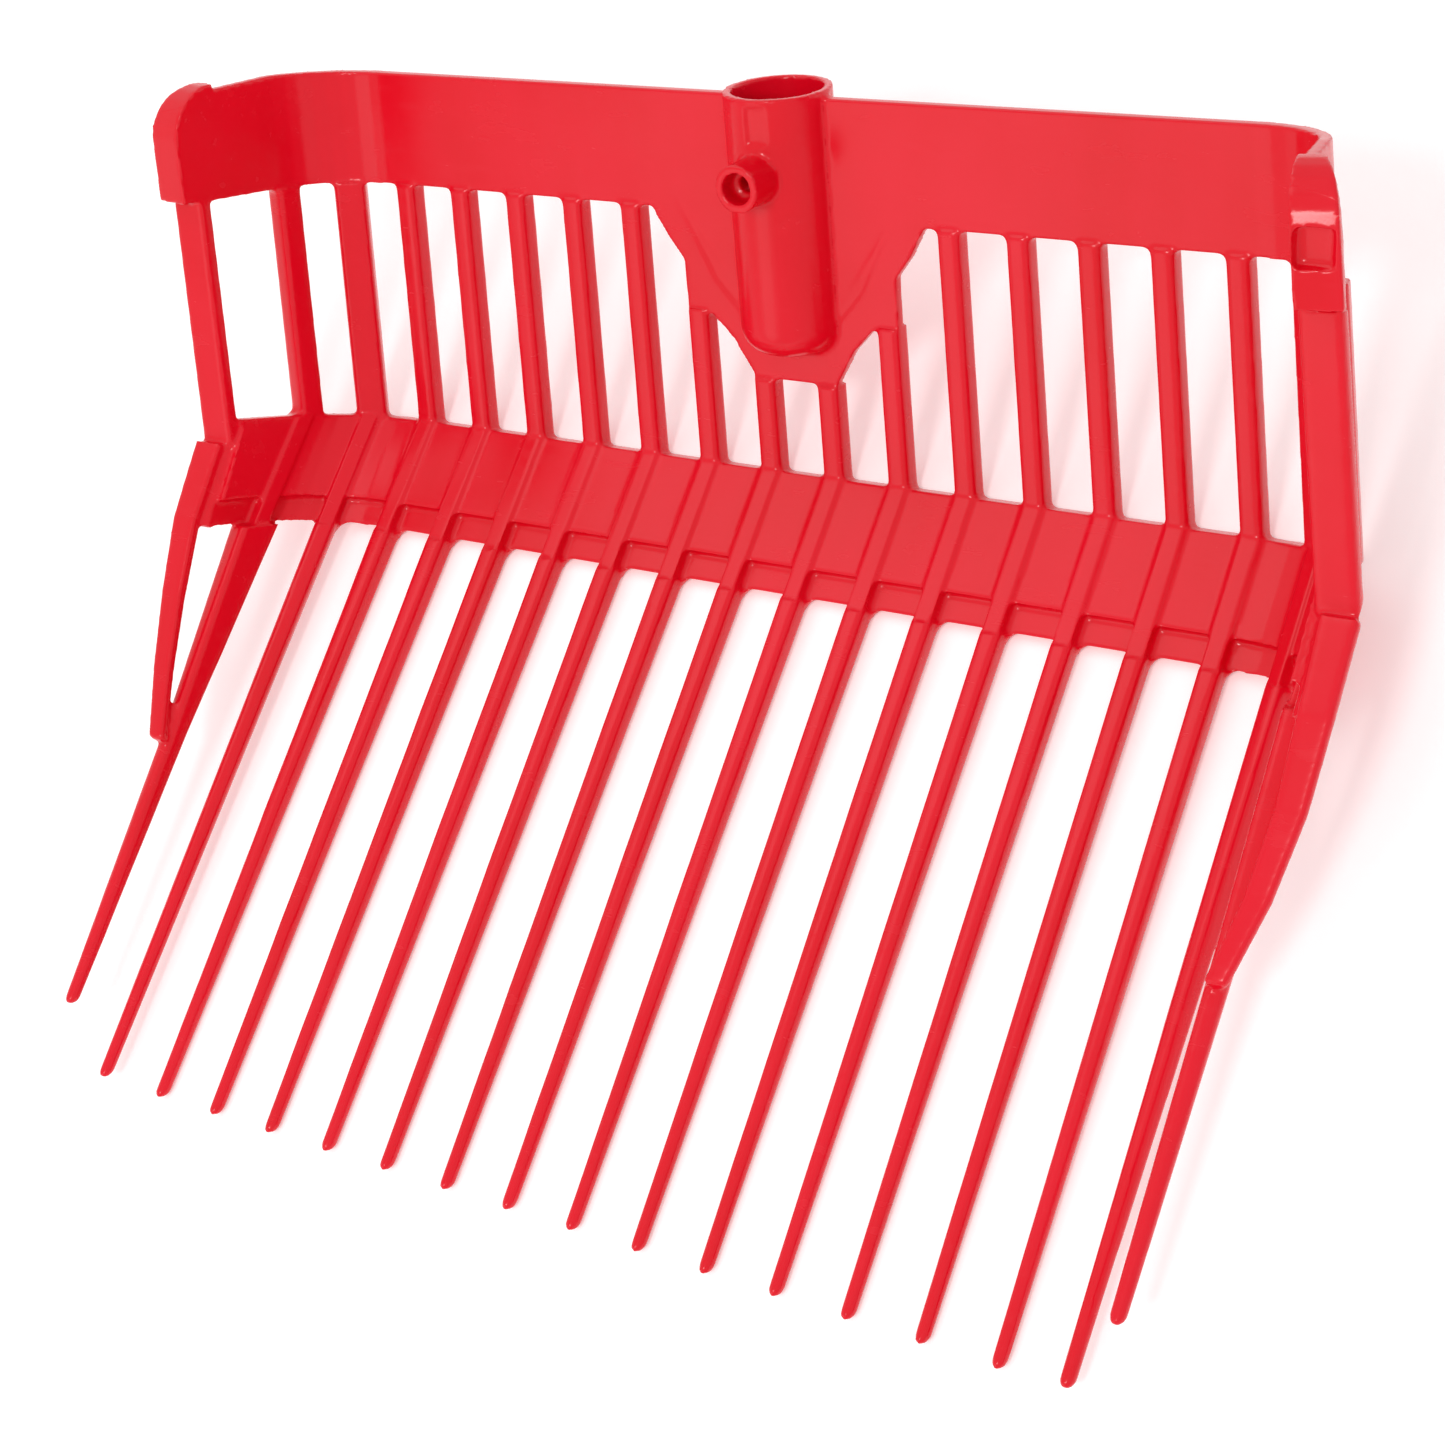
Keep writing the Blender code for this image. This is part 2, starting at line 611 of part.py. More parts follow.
def make_boss():
    """The round seat for the handle screw, standing on the socket's face."""
    face = -(SOCKET_RADIUS + BOSS_HEIGHT)
    shape = bmesh.new()
    depth = BOSS_HEIGHT + SOCKET_RADIUS
    bmesh.ops.create_cone(
        shape, cap_ends=True, segments=BOSS_SIDES, radius1=BOSS_RADIUS, radius2=BOSS_RADIUS, depth=depth
    )
    turn = Vector((0, 0, 1)).rotation_difference(Vector((0, 1, 0)))
    bmesh.ops.rotate(shape, verts=shape.verts, cent=(0, 0, 0), matrix=turn.to_matrix())
    bmesh.ops.translate(shape, vec=(0, face + depth / 2, BOSS_AT), verts=shape.verts)
    obj = add_object("screw_boss", finish_mesh(shape, "screw_boss"), WALL)
    seat = (0, face + SCREW_HEAD_DEPTH, BOSS_AT)
    outside = (0, face - CUT_OVERSHOOT, BOSS_AT)
    foot, top = (0, 0, SOCKET_FOOT), (0, 0, SOCKET_TOP)
    cut(obj, cylinder_cutter("socket_clearance", SOCKET_RADIUS + GAP, foot, top, WALL, SOCKET_SIDES))
    cut(obj, cylinder_cutter("boss_bore", SCREW_HOLE_RADIUS, (0, 0, BOSS_AT), outside, WALL))
    cut(obj, cylinder_cutter("head_recess", SCREW_HEAD_RADIUS, seat, outside, WALL))
    return obj


for member in range(1, MEMBERS + 1):
    make_tine(member)
    make_slat(member)
make_heel_band()
for way in (-1, 1):
    make_heel_corner(way)
    make_side_rail(way)
    make_side_post(way)
    make_top_rail(way)
    make_rail_corner(way)
    make_rail_end(way)
    make_socket_web(way)
make_socket()
make_boss()
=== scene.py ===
"""Looks of the stall fork head: one glossy red moulding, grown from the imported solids, then cut up.

Metres, in the row frame: +X right, the tines towards -Y, +Z up, the heel band's underside at the origin.
"""

import json
import math

import bmesh
import bpy
from mathutils import Matrix, Vector

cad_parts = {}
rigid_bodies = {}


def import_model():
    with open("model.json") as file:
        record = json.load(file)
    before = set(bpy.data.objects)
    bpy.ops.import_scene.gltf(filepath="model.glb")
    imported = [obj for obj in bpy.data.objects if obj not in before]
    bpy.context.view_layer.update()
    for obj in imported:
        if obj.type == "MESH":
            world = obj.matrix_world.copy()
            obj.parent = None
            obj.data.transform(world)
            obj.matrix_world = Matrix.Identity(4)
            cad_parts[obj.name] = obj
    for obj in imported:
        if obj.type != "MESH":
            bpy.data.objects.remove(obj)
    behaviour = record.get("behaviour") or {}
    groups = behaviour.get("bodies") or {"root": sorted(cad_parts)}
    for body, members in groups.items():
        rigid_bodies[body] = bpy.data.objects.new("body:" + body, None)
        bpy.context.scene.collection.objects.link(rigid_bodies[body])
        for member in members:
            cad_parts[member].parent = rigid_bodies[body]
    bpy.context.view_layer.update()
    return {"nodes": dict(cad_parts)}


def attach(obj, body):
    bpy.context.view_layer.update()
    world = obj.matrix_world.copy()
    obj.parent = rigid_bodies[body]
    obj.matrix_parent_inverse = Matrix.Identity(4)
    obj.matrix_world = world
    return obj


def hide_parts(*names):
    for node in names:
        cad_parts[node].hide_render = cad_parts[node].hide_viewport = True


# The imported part's own sizes, as the CAD has them
MEMBERS = 18
PITCH = 0.0215
FLAT_HALF = 0.146
CORNER_RADIUS = 0.028
SIDE_TURN = math.radians(80)
MID_HEIGHT = 0.004
HEEL_DEPTH = 0.0395
LEAN = 0.63
WALL_ANGLE = math.radians(48)
WALL_RISE = math.sin(WALL_ANGLE)
WALL_BACK = math.cos(WALL_ANGLE)
WALL_FOOT_RISE = (WALL_RISE - LEAN * WALL_BACK) / (LEAN * WALL_RISE + WALL_BACK)
WALL_NARROWING = 0.40
TINE_HALF = 0.0033
LIP_TOP = -0.0006
SLAT_HALF = 0.00345
CORNER_SLAT_HALF = 0.0050
OUTER_SLAT_HALF = 0.00425
RAIL_FOOT = 0.078
RAIL_RISE = 0.12
RAIL_FRONT = 0.0022
RAIL_BACK = -0.0015
SOCKET_RADIUS = 0.0155
SOCKET_FOOT = 0.0390
WEB_FOOT = 0.0290
WEB_SLAT_TOP = 0.0485

# How the moulding is grown
GROWTH = 0.0003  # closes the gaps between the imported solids, then is taken off again
SLIM_GROWTH = 0.00018  # makes up for what smoothing takes off the tines and slats
VOXEL = 0.0007
SMOOTHING = 0.5
SMOOTHING_ROUNDS = 4
WELD = 1e-6
CELL_SIZE = 1.2
ROOT_FILLET = 0.0042  # where a tine's right side meets the lip
ROOT_FILLET_TIGHT = 0.0014
SLOT_FILLET = 0.0030
SLOT_FILLET_TIGHT = 0.0010
FOOT_FILLET = 0.0016
FILLET_STEPS = 6
FILLET_OVERLAP = 3 * GROWTH
# The raised triangle on the rail and web, which fades out towards its top: x, up the wall, front
PANEL_OUTLINE = (
    (0.0445, 0.0950, 0.0019),
    (0.0335, 0.0776, 0.0026),
    (0.0240, 0.0580, 0.0028),
    (0.0158, 0.0485, 0.0028),
)
PANEL_INNER = 0.0135

# The joint behind the heel line: lift, then back from the heel line or up the wall
HEEL_JOINT_SECTION = (
    (-MID_HEIGHT, -0.002, None),
    (0.002, -0.002, None),
    (0.002, None, 0.002),
    (-0.0035, None, 0.002),
)
HEEL_JOINT_RISE = 0.26

# The joint under each side rail: y and height at its ends, then x
SIDE_JOINT = ((-0.0229, 0.0363), (0.0020, 0.0398))
SIDE_JOINT_X = (0.1771, 0.1815)
SIDE_JOINT_BELOW = 0.0025
SIDE_JOINT_ABOVE = 0.0012

# Where the moulding is cut into its members
CLEARANCE = 0.0003
WEB_SLAT = 3
WEB_SLAT_REACH = 0.0048
RAIL_CORNER_X = 0.1405
RAIL_END_FRONT = 0.0566
SIDE_RAIL_X = 0.1655
SIDE_RAIL_REAR = 0.0024
SIDE_RAIL_FRONT = -0.0905
SIDE_RAIL_UNDER = 0.0221
SIDE_RAIL_SLOPE = 0.14
POST_X = 0.160
POST_FOOT = 0.0410
POST_BEHIND = 0.037
CUT_EDGE_ANGLE = math.radians(50)

# Materials, with colours as linear values
RED = (0.76, 0.002, 0.016, 1)
RED_DEEP = (0.71, 0.001, 0.010, 1)
RED_PALE = (0.79, 0.006, 0.026, 1)
RED_SCUFFED = (0.80, 0.03, 0.05, 1)
PLASTIC_IOR = 1.49
PLASTIC_SPECULAR = 0.36
ROUGHNESS = (0.17, 0.27)
STREAK_SHARE = 0.22
SCUFF_SHARE = 0.10
SCUFF_ROUGHNESS = 0.10
# Noise patterns: scale, detail, and stretch along the axes
CLOUDS = (16.0, 4.0)
STREAKS = (60.0, 3.0, (1.0, 0.12, 0.3))
SCUFFS = (260.0, 5.0, (0.3, 1.0, 1.0))
SHEEN = (35.0, 5.0)
WAVES = (40.0, 2.0)
GRAIN = (1500.0, 3.0)
FLOOR_TOOTH = (300.0, 3.0)
# Bumps: strength, height
WAVE_BUMP = (0.07, 0.0012)
GRAIN_BUMP = (0.10, 0.00012)
FLOOR_PALE = (0.88, 0.88, 0.88, 1)
FLOOR_PALER = (0.93, 0.93, 0.93, 1)

# Studio
FLOOR_HALF = 3.0
FLOOR_LEVEL = -0.0002
FLOOR_ROUGHNESS = 0.85
FLOOR_GLOW = 0.25  # the board is lit a little from below, as a light table is
# Lights: place, diameter, power
KEY_LIGHT = ((0.15, -0.75, 1.40), 0.35, 6.0)
FRONT_LIGHT = ((-0.55, -1.15, 0.62), 0.8, 1.3)
TOP_LIGHT = ((-0.45, 0.45, 1.15), 0.9, 1.8)
WORLD_STRENGTH = 0.76

# Camera
CAMERA_AT = (0.37950, -0.25230, 0.62977)
CAMERA_TARGET = (0.01790, -0.06913, 0.03000)
CAMERA_ROLL = math.radians(-47.27)
CAMERA_VIEW = math.radians(30.81)

for startup_object in list(bpy.data.objects):
    bpy.data.objects.remove(startup_object)
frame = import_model()

UP_WALL = Vector((0, WALL_BACK, WALL_RISE))
FRONT = Vector((0, -WALL_RISE, WALL_BACK))
ROOT = Vector((0, -HEEL_DEPTH / 2, MID_HEIGHT))
HEEL = Vector((0, HEEL_DEPTH / 2, MID_HEIGHT))


def bow(run, lift=0.0, aside=0.0):
    """(x, out) on the head's bowed section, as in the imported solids."""
    past = max(0.0, abs(run) - FLAT_HALF)
    tilt = min(past / CORNER_RADIUS, SIDE_TURN)
    straight = past - tilt * CORNER_RADIUS
    x = min(abs(run), FLAT_HALF) + CORNER_RADIUS * math.sin(tilt) + straight * math.cos(tilt)
    out = CORNER_RADIUS * (1 - math.cos(tilt)) + straight * math.sin(tilt)
    side = math.copysign(1.0, run)
    x += side * aside * math.cos(tilt) - lift * math.sin(tilt)
    out += side * aside * math.sin(tilt) + lift * math.cos(tilt)
    return side * x, out


def slat_half(number):
    outermost = min(number, MEMBERS + 1 - number)
    return {1: OUTER_SLAT_HALF, 2: CORNER_SLAT_HALF}.get(outermost, SLAT_HALF)


def member_run(number):
    return (number - (MEMBERS + 1) / 2) * PITCH


def floor_point(x, out, back):
    return ROOT + Vector((x, back - LEAN * out, out))


def wall_point(x, out, up):
    return HEEL + Vector((x * (1 - WALL_NARROWING * up), 0, 0)) + UP_WALL * up + FRONT * out


def new_object(name, mesh):
    obj = bpy.data.objects.new(name, mesh)
    bpy.context.scene.collection.objects.link(obj)
    return obj


def prism(shape, bottom, top):
    """Adds a closed prism between two outlines of equal length."""
    rows = [[shape.verts.new(point) for point in outline] for outline in (bottom, top)]
    count = len(bottom)
    faces = [shape.faces.new(rows[0]), shape.faces.new(rows[1])]
    for i in range(count):
        j = (i + 1) % count
        faces.append(shape.faces.new((rows[0][i], rows[0][j], rows[1][j], rows[1][i])))
    bmesh.ops.recalc_face_normals(shape, faces=faces)


def add_solid(shape, node):
    """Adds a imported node's solid, grown a little along its normals."""
    part = bmesh.new()
    part.from_mesh(node.data)
    bmesh.ops.remove_doubles(part, verts=part.verts, dist=WELD)
    bmesh.ops.recalc_face_normals(part, faces=part.faces)
    part.normal_update()
    slim = node.name.startswith(("tine", "wall_slat"))
    reach = GROWTH + SLIM_GROWTH if slim else GROWTH
    for vert, place in [(vert, vert.co + vert.normal * reach) for vert in part.verts]:
        vert.co = place
        vert.co.z = max(place.z, -GROWTH)
    mesh = bpy.data.meshes.new("grown")
    part.to_mesh(mesh)
    part.free()
    shape.from_mesh(mesh)
    bpy.data.meshes.remove(mesh)


def fillet_outline(radius, overlap):
    """(along, away) of a concave quarter-round gusset, its corner at the origin, sunk into both sides."""
    outline = [(-overlap, -overlap), (radius, -overlap)]
    for i in range(FILLET_STEPS + 1):
        angle = math.pi / 2 * i / FILLET_STEPS
        outline.append((radius * (1 - math.sin(angle)), radius * (1 - math.cos(angle))))
    outline.append((-overlap, radius))
    return outline


def add_root_fillets(shape):
    """Gussets between each tine and the lip: wide on the tine's right side, tight on its left."""
    overlap = FILLET_OVERLAP
    for number in range(1, MEMBERS + 1):
        run = member_run(number)
        for side, radius in ((1, ROOT_FILLET), (-1, ROOT_FILLET_TIGHT)):
            at_side = run + side * TINE_HALF
            if abs(at_side) > FLAT_HALF + CORNER_RADIUS * SIDE_TURN - radius:
                continue
            layers = []
            for lift in (-MID_HEIGHT, LIP_TOP):
                layer = []
                for along, away in fillet_outline(radius, overlap):
                    x, out = bow(at_side + side * along, lift)
                    layer.append(floor_point(x, out, -away))
                layers.append(layer)
            prism(shape, *layers)


def add_slot_fillets(shape):
    """Gussets where the slats meet the rail above, and the band below."""
    overlap = FILLET_OVERLAP
    for number in range(1, MEMBERS + 1):
        run = member_run(number)
        under_rail = abs(2 * number - MEMBERS - 1) > WEB_SLAT
        for side, head_radius in ((-1, SLOT_FILLET), (1, SLOT_FILLET_TIGHT)):
            at_side = run + side * slat_half(number)
            for radius, at_head in ((head_radius, True), (FOOT_FILLET, False)):
                if at_head and not under_rail:
                    continue
                layers = []
                for lift in (RAIL_BACK, RAIL_FRONT):
                    layer = []
                    for along, away in fillet_outline(radius, overlap):
                        x, out = bow(at_side + side * along, lift)
                        up = RAIL_FOOT + RAIL_RISE * out - away if at_head else WALL_FOOT_RISE * out + away
                        layer.append(wall_point(x, out, up))
                    layers.append(layer)
                prism(shape, *layers)


def add_web_panel(shape):
    """The raised triangle that carries the socket, on the front of the rail and web."""
    top, foot = PANEL_OUTLINE[0], PANEL_OUTLINE[-1]
    outline = [(PANEL_INNER, *top[1:]), *PANEL_OUTLINE, (PANEL_INNER, *foot[1:])]
    for side in (-1, 1):
        back = [HEEL + Vector((side * x, 0, 0)) + UP_WALL * up for x, up, _ in outline]
        front = [place + FRONT * corner[2] for place, corner in zip(back, outline)]
        prism(shape, back, front)


def add_heel_joint(shape):
    """Material behind the heel line, where the band and the slats meet at an angle."""
    for number in range(1, MEMBERS + 1):
        run = member_run(number)
        layers = []
        for aside in (-slat_half(number), slat_half(number)):
            section = []
            for lift, back, up in HEEL_JOINT_SECTION:
                x, out = bow(run, lift, aside)
                if up is None:
                    section.append(floor_point(x, out, HEEL_DEPTH + back))
                else:
                    section.append(wall_point(x, out, HEEL_JOINT_RISE * out + up))
            layers.append(section)
        prism(shape, *layers)


def add_side_joints(shape):
    """Material that ties each side rail to the top of its side plate."""
    for side in (-1, 1):
        layers = []
        for dz in (-SIDE_JOINT_BELOW, SIDE_JOINT_ABOVE):
            inner, outer = [
                [ROOT + Vector((side * x, y, height + dz)) for y, height in SIDE_JOINT]
                for x in SIDE_JOINT_X
            ]
            layers.append(inner + outer[::-1])
        prism(shape, *layers)


def grow_moulding():
    """One closed smooth mesh of the whole head."""
    shape = bmesh.new()
    for name in sorted(frame["nodes"]):
        add_solid(shape, frame["nodes"][name])
    add_root_fillets(shape)
    add_slot_fillets(shape)
    add_web_panel(shape)
    add_heel_joint(shape)
    add_side_joints(shape)
    mesh = bpy.data.meshes.new("grown_solids")
    shape.to_mesh(mesh)
    shape.free()
    obj = new_object("grown_solids", mesh)
    remesh = obj.modifiers.new("skin", "REMESH")
    remesh.mode = "VOXEL"
    remesh.voxel_size = VOXEL
    remesh.use_smooth_shade = True
    smooth = obj.modifiers.new("soften", "SMOOTH")
    smooth.factor = SMOOTHING
    smooth.iterations = SMOOTHING_ROUNDS
    shrink = obj.modifiers.new("shrink", "DISPLACE")
    shrink.strength = -GROWTH
    shrink.mid_level = 0.0
    return applied(obj, "moulding")


def applied(obj, name):
    """A new object with this one's modifiers applied, in its place."""
    graph = bpy.context.evaluated_depsgraph_get()
    mesh = bpy.data.meshes.new_from_object(obj.evaluated_get(graph))
    mesh.name = name
    bpy.data.objects.remove(obj)
    return new_object(name, mesh)


def cell(planes):
    """A convex cutter: the space inside these planes, each a point and its outward normal."""
    shape = bmesh.new()
    bmesh.ops.create_cube(shape, size=CELL_SIZE)
    for point, normal in planes:
        bmesh.ops.bisect_plane(
            shape, geom=shape.verts[:] + shape.edges[:] + shape.faces[:],
            plane_co=point, plane_no=normal, clear_outer=True,
        )
        bmesh.ops.holes_fill(shape, edges=[edge for edge in shape.edges if edge.is_boundary])
    bmesh.ops.recalc_face_normals(shape, faces=shape.faces)
    bmesh.ops.triangulate(shape, faces=shape.faces)
    mesh = bpy.data.meshes.new("cell")
    shape.to_mesh(mesh)
    shape.free()
    return new_object("cell", mesh)


def boolean(obj, cutter, operation, name):
    copy = new_object(name, obj.data.copy())
    modifier = copy.modifiers.new("cell", "BOOLEAN")
    modifier.operation = operation
    modifier.solver = "MANIFOLD"
    modifier.object = cutter
    return applied(copy, name)


def carve(rest, name, planes):
    """Splits the piece inside these planes off the rest. Returns the piece and what remains."""
    cutter = cell(planes)
    piece = boolean(rest, cutter, "INTERSECT", name)
    remainder = boolean(rest, cutter, "DIFFERENCE", "remainder")
    bpy.data.objects.remove(rest)
    bpy.data.objects.remove(cutter)
    return piece, remainder


def beyond(x):
    """The plane at this x, facing +X."""
    return Vector((x, 0, 0)), Vector((1, 0, 0))


def before(x):
    return Vector((x, 0, 0)), Vector((-1, 0, 0))


def wall_plane(out, up, out_normal, up_normal):
    return HEEL + FRONT * out + UP_WALL * up, FRONT * out_normal + UP_WALL * up_normal


def floor_plane(y, out, y_normal, out_normal):
    return ROOT + Vector((0, y, out)), Vector((0, y_normal, out_normal))


def between(number, side, on_wall=False):
    """The plane midway from a member to its neighbour on that side, leaning with the wall's narrowing."""
    x, _ = bow(member_run(number) + side * PITCH / 2)
    normal = Vector((1, 0, 0))
    if on_wall:
        normal += UP_WALL * WALL_NARROWING * x
    return HEEL + Vector((x, 0, 0)), normal * side


def mirrored(planes, side):
    """These planes, or their mirror images when side is -1."""
    flip = Vector((side, 1, 1))
    return [(point * flip, normal * flip) for point, normal in planes]


ROOT_PLANE = floor_plane(0, 0, 1, LEAN)
HEEL_PLANE = floor_plane(HEEL_DEPTH, 0, 1, LEAN)
RAIL_PLANE = wall_plane(0, RAIL_FOOT, RAIL_RISE, -1)
SIDES = ((-1, "left"), (1, "right"))


def carve_socket(rest, pieces):
    """The socket's whole slab, then the boss in front of it."""
    half = SOCKET_RADIUS + CLEARANCE
    planes = [beyond(half), before(-half), wall_plane(0, SOCKET_FOOT - CLEARANCE, 0, -1)]
    socket, rest = carve(rest, "socket_slab", planes)
    boss, socket = carve(socket, "moulded_screw_boss", [wall_plane(SOCKET_RADIUS + CLEARANCE, 0, -1, 0)])
    socket.name = "moulded_handle_socket"
    pieces += [(boss, ["screw_boss"]), (socket, ["handle_socket"])]
    return rest


def carve_rail(rest, pieces):
    """Everything above the slots: two flat halves, two corners and their flanged ends."""
    rail, rest = carve(rest, "rail", [RAIL_PLANE])
    for side, word in SIDES:
        end_planes = mirrored([before(RAIL_CORNER_X), wall_plane(RAIL_END_FRONT, 0, -1, 0)], side)
        end, rail = carve(rail, f"moulded_rail_end_{word}", end_planes)
        corner, rail = carve(rail, f"moulded_rail_corner_{word}", mirrored([before(RAIL_CORNER_X)], side))
        pieces += [(end, [f"rail_end_{word}"]), (corner, [f"rail_corner_{word}"])]
    right, left = carve(rail, "moulded_top_rail_right", [before(0)])
    left.name = "moulded_top_rail_left"
    pieces += [(right, ["top_rail_right"]), (left, ["top_rail_left"])]
    return rest


def carve_sides(rest, pieces):
    """The side rails and the posts."""
    for side, word in SIDES:
        planes = [
            before(SIDE_RAIL_X),
            floor_plane(SIDE_RAIL_REAR, 0, 1, 0),
            floor_plane(SIDE_RAIL_FRONT, 0, -1, 0),
            floor_plane(SIDE_RAIL_FRONT, SIDE_RAIL_UNDER, SIDE_RAIL_SLOPE, -1),
        ]
        rail, rest = carve(rest, f"moulded_side_rail_{word}", mirrored(planes, side))
        planes = [
            before(POST_X),
            floor_plane(SIDE_RAIL_REAR, 0, -1, 0),
            floor_plane(0, POST_FOOT, 0, -1),
            wall_plane(POST_BEHIND, 0, -1, 0),
        ]
        post, rest = carve(rest, f"moulded_side_post_{word}", mirrored(planes, side))
        pieces += [(rail, [f"side_rail_{word}"]), (post, [f"side_post_{word}"])]
    return rest


def carve_tines(rest, pieces):
    """Everything in front of the root line, one tine at a time."""
    tines, rest = carve(rest, "tines", [ROOT_PLANE])
    for number in range(1, MEMBERS):
        tine, tines = carve(tines, f"moulded_tine_{number:02d}", [between(number, 1)])
        pieces.append((tine, [f"tine_{number:02d}"]))
    tines.name = f"moulded_tine_{MEMBERS:02d}"
    pieces.append((tines, [f"tine_{MEMBERS:02d}"]))
    return rest


def carve_band(rest, pieces):
    """The heel band and its two corners."""
    band, rest = carve(rest, "moulded_heel_band", [HEEL_PLANE])
    for side, word in SIDES:
        corner, band = carve(band, f"moulded_heel_corner_{word}", mirrored([before(FLAT_HALF)], side))
        pieces.append((corner, [f"heel_corner_{word}"]))
    band.name = "moulded_heel_band"
    pieces.append((band, ["heel_band"]))
    return rest


def carve_wall(rest, pieces):
    """The slats, and the two halves of the web that are left between them."""
    for number in range(1, MEMBERS + 1):
        halves = abs(2 * number - MEMBERS - 1)
        planes = [between(number, side, True) for side in (-1, 1) if 1 <= number + side <= MEMBERS]
        if halves < WEB_SLAT:
            planes.append(wall_plane(0, WEB_FOOT - CLEARANCE, 0, 1))
        elif halves == WEB_SLAT:
            x = member_run(number)
            planes = [beyond(x + WEB_SLAT_REACH), before(x - WEB_SLAT_REACH)]
            planes.append(wall_plane(0, WEB_SLAT_TOP, 0, 1))
        slat, rest = carve(rest, f"moulded_wall_slat_{number:02d}", planes)
        pieces.append((slat, [f"wall_slat_{number:02d}"]))
    right, left = carve(rest, "moulded_socket_web_right", [before(0)])
    left.name = "moulded_socket_web_left"
    pieces += [(right, ["socket_web_right"]), (left, ["socket_web_left"])]


def shader_node(tree, kind, **settings):
    """A new shader node with these properties or input values set."""
    node = tree.nodes.new(kind)
    for key, value in settings.items():
        if key in node.inputs:
            node.inputs[key].default_value = value
        else:
            setattr(node, key, value)
    return node


def noise(tree, place, scale, detail=2.0, stretch=(1.0, 1.0, 1.0)):
    """Noise in metres along the row's axes, so that it runs on from piece to piece."""
    mapping = shader_node(tree, "ShaderNodeMapping")
    mapping.inputs["Scale"].default_value = stretch
    tree.links.new(place.outputs["Object"], mapping.inputs["Vector"])
    node = shader_node(tree, "ShaderNodeTexNoise", Scale=scale, Detail=detail)
    tree.links.new(mapping.outputs["Vector"], node.inputs["Vector"])
    return node.outputs["Fac"]


def ramp(tree, source, low, high, start=0.0, end=1.0):
    """Source's share from low to high, scaled to run from start to end."""
    node = shader_node(tree, "ShaderNodeMapRange")
    for key, value in (("From Min", low), ("From Max", high), ("To Min", start), ("To Max", end)):
        node.inputs[key].default_value = value
    tree.links.new(source, node.inputs["Value"])
    return node.outputs["Result"]


def mixed_colour(tree, share, first, second):
    node = shader_node(tree, "ShaderNodeMix", data_type="RGBA")
    for key, value in (("A_Color", first), ("B_Color", second)):
        inlet = next(inlet for inlet in node.inputs if inlet.identifier == key)
        if isinstance(value, tuple):
            inlet.default_value = value
        else:
            tree.links.new(value, inlet)
    tree.links.new(share, node.inputs["Factor"])
    return next(outlet for outlet in node.outputs if outlet.identifier == "Result_Color")


def bumped(tree, height, strength, distance, under=None):
    node = shader_node(tree, "ShaderNodeBump", Strength=strength, Distance=distance)
    tree.links.new(height, node.inputs["Height"])
    if under is not None:
        tree.links.new(under, node.inputs["Normal"])
    return node.outputs["Normal"]


def red_plastic():
    """Injection-moulded polymer: pigment clouds, flow streaks, a fine grain, waves and faint scuffs."""
    material = bpy.data.materials.new("glossy_red_plastic")
    material.use_nodes = True
    tree = material.node_tree
    shader = tree.nodes["Principled BSDF"]
    shader.inputs["IOR"].default_value = PLASTIC_IOR
    shader.inputs["Specular IOR Level"].default_value = PLASTIC_SPECULAR
    place = shader_node(tree, "ShaderNodeTexCoord")
    clouds = ramp(tree, noise(tree, place, *CLOUDS), 0.35, 0.65)
    streaks = ramp(tree, noise(tree, place, *STREAKS), 0.40, 0.62)
    scuffs = ramp(tree, noise(tree, place, *SCUFFS), 0.55, 0.80)
    colour = mixed_colour(tree, clouds, RED_DEEP, RED)
    colour = mixed_colour(tree, ramp(tree, streaks, 0, 1, 0, STREAK_SHARE), colour, RED_PALE)
    colour = mixed_colour(tree, ramp(tree, scuffs, 0, 1, 0, SCUFF_SHARE), colour, RED_SCUFFED)
    tree.links.new(colour, shader.inputs["Base Color"])
    gloss = shader_node(tree, "ShaderNodeMath", operation="ADD")
    tree.links.new(ramp(tree, noise(tree, place, *SHEEN), 0.3, 0.7, *ROUGHNESS), gloss.inputs[0])
    tree.links.new(ramp(tree, scuffs, 0, 1, 0, SCUFF_ROUGHNESS), gloss.inputs[1])
    tree.links.new(gloss.outputs[0], shader.inputs["Roughness"])
    normal = bumped(tree, noise(tree, place, *WAVES), *WAVE_BUMP)
    normal = bumped(tree, noise(tree, place, *GRAIN), *GRAIN_BUMP, normal)
    tree.links.new(normal, shader.inputs["Normal"])
    return material


def dress(pieces, material):
    for obj, nodes in pieces:
        if not obj.data.polygons:
            raise ValueError(f"{obj.name} came out empty")
        obj.data.name = obj.name
        obj.data.materials.clear()
        obj.data.materials.append(material)
        obj.data.shade_smooth()
        obj.data.set_sharp_from_angle(angle=CUT_EDGE_ANGLE)
        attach(obj, "root")
        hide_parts(*nodes)


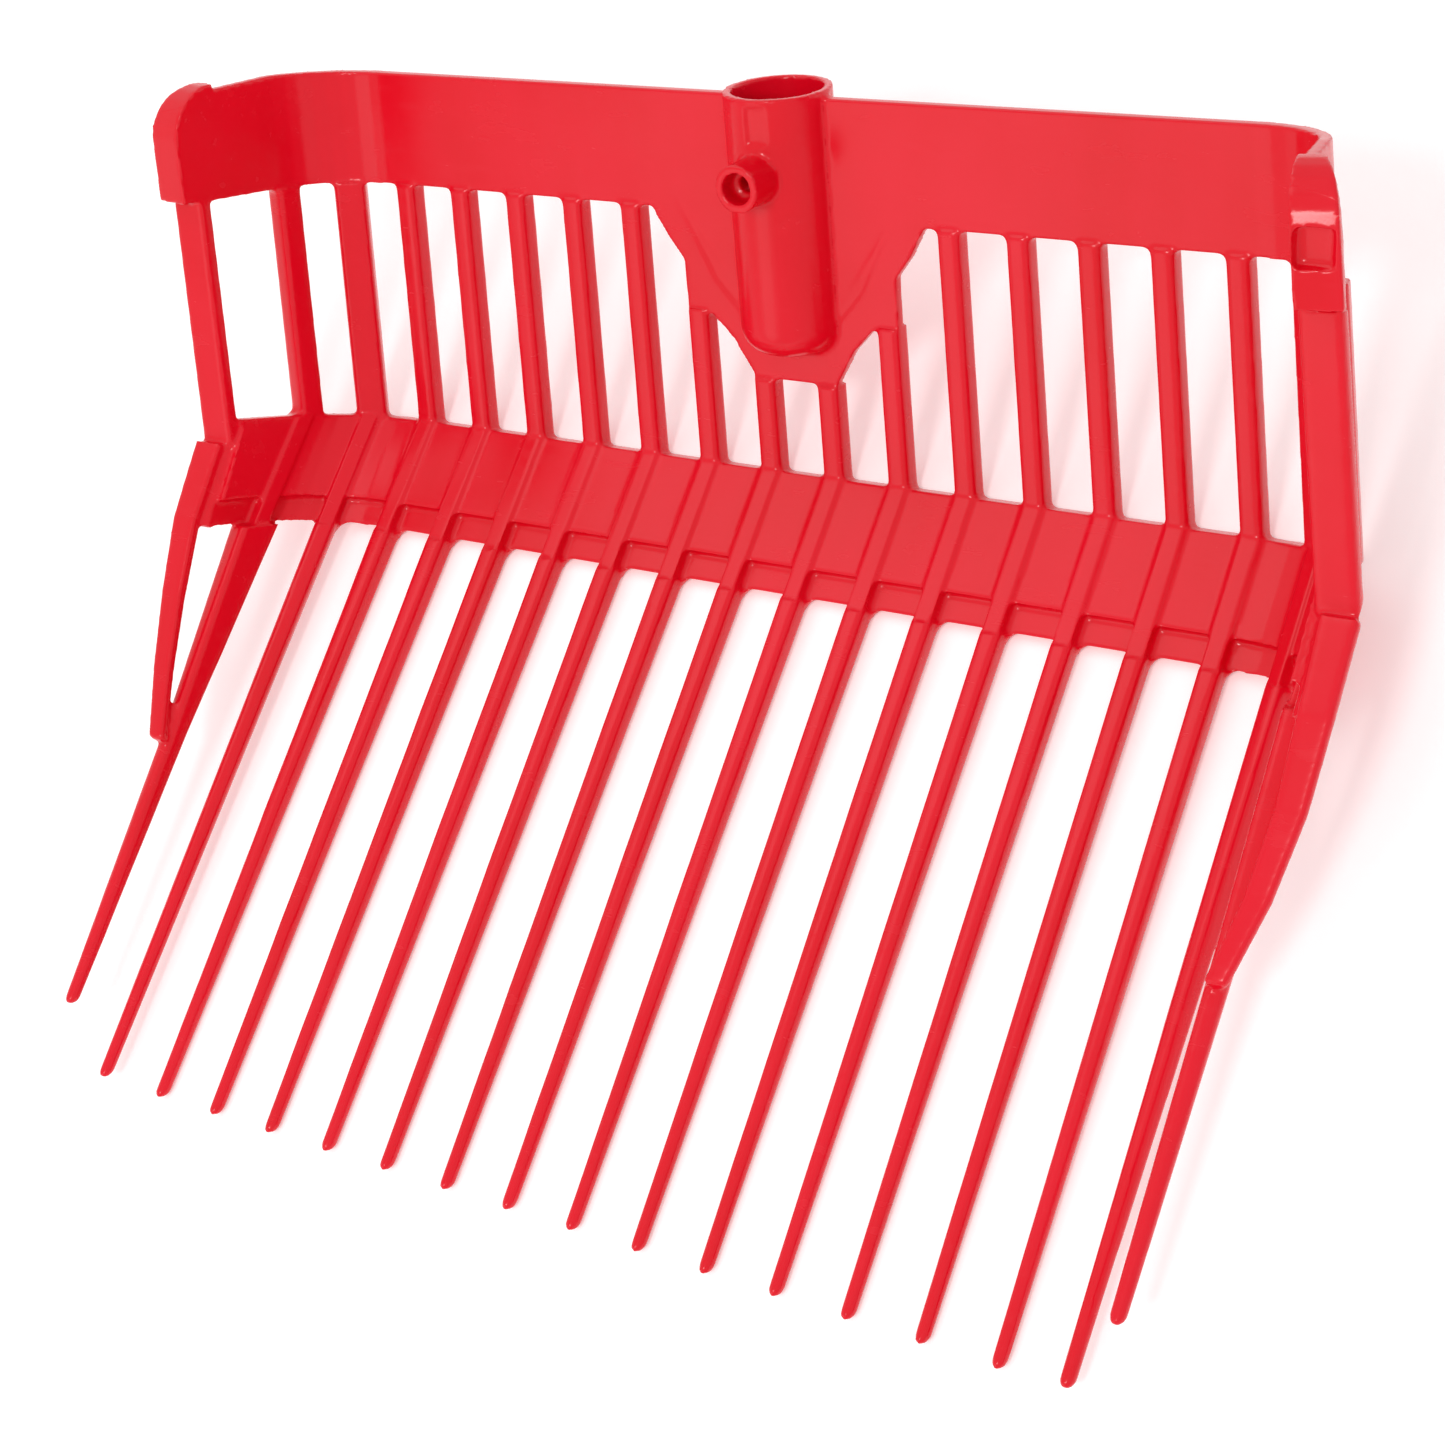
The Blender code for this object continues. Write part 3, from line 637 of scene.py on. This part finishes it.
def floor_material():
    """Matt studio board, with a faint tooth."""
    material = bpy.data.materials.new("studio_board")
    material.use_nodes = True
    tree = material.node_tree
    shader = tree.nodes["Principled BSDF"]
    shader.inputs["Roughness"].default_value = FLOOR_ROUGHNESS
    shader.inputs["Emission Color"].default_value = (1, 1, 1, 1)
    shader.inputs["Emission Strength"].default_value = FLOOR_GLOW
    place = shader_node(tree, "ShaderNodeTexCoord")
    tooth = noise(tree, place, *FLOOR_TOOTH)
    tree.links.new(mixed_colour(tree, tooth, FLOOR_PALE, FLOOR_PALER), shader.inputs["Base Color"])
    return material


def area_light(name, place, size, power):
    light = bpy.data.lights.new(name, "AREA")
    light.shape = "DISK"
    light.size = size
    light.energy = power
    obj = new_object(name, light)
    obj.location = place
    obj.rotation_euler = (Vector(CAMERA_TARGET) - Vector(place)).to_track_quat("-Z", "Y").to_euler()


def studio():
    shape = bmesh.new()
    bmesh.ops.create_grid(shape, x_segments=1, y_segments=1, size=FLOOR_HALF)
    mesh = bpy.data.meshes.new("floor")
    shape.to_mesh(mesh)
    shape.free()
    floor = new_object("floor", mesh)
    floor.location = (0, 0, FLOOR_LEVEL)
    mesh.materials.append(floor_material())
    area_light("key_light", *KEY_LIGHT)
    area_light("front_light", *FRONT_LIGHT)
    area_light("top_light", *TOP_LIGHT)
    world = bpy.data.worlds.new("studio")
    world.use_nodes = True
    world.node_tree.nodes["Background"].inputs["Color"].default_value = (1, 1, 1, 1)
    world.node_tree.nodes["Background"].inputs["Strength"].default_value = WORLD_STRENGTH
    bpy.context.scene.world = world
    bpy.context.scene.view_settings.view_transform = "Standard"


def camera():
    data = bpy.data.cameras.new("camera")
    data.angle = CAMERA_VIEW
    data.clip_start = 0.01
    obj = new_object("camera", data)
    aim = (Vector(CAMERA_TARGET) - Vector(CAMERA_AT)).to_track_quat("-Z", "Y").to_matrix().to_4x4()
    obj.matrix_world = Matrix.Translation(CAMERA_AT) @ aim @ Matrix.Rotation(CAMERA_ROLL, 4, "Z")
    bpy.context.scene.camera = obj


moulded_pieces = []
moulding = grow_moulding()
moulding = carve_socket(moulding, moulded_pieces)
moulding = carve_rail(moulding, moulded_pieces)
moulding = carve_sides(moulding, moulded_pieces)
moulding = carve_tines(moulding, moulded_pieces)
moulding = carve_band(moulding, moulded_pieces)
carve_wall(moulding, moulded_pieces)
dress(moulded_pieces, red_plastic())
studio()
camera()
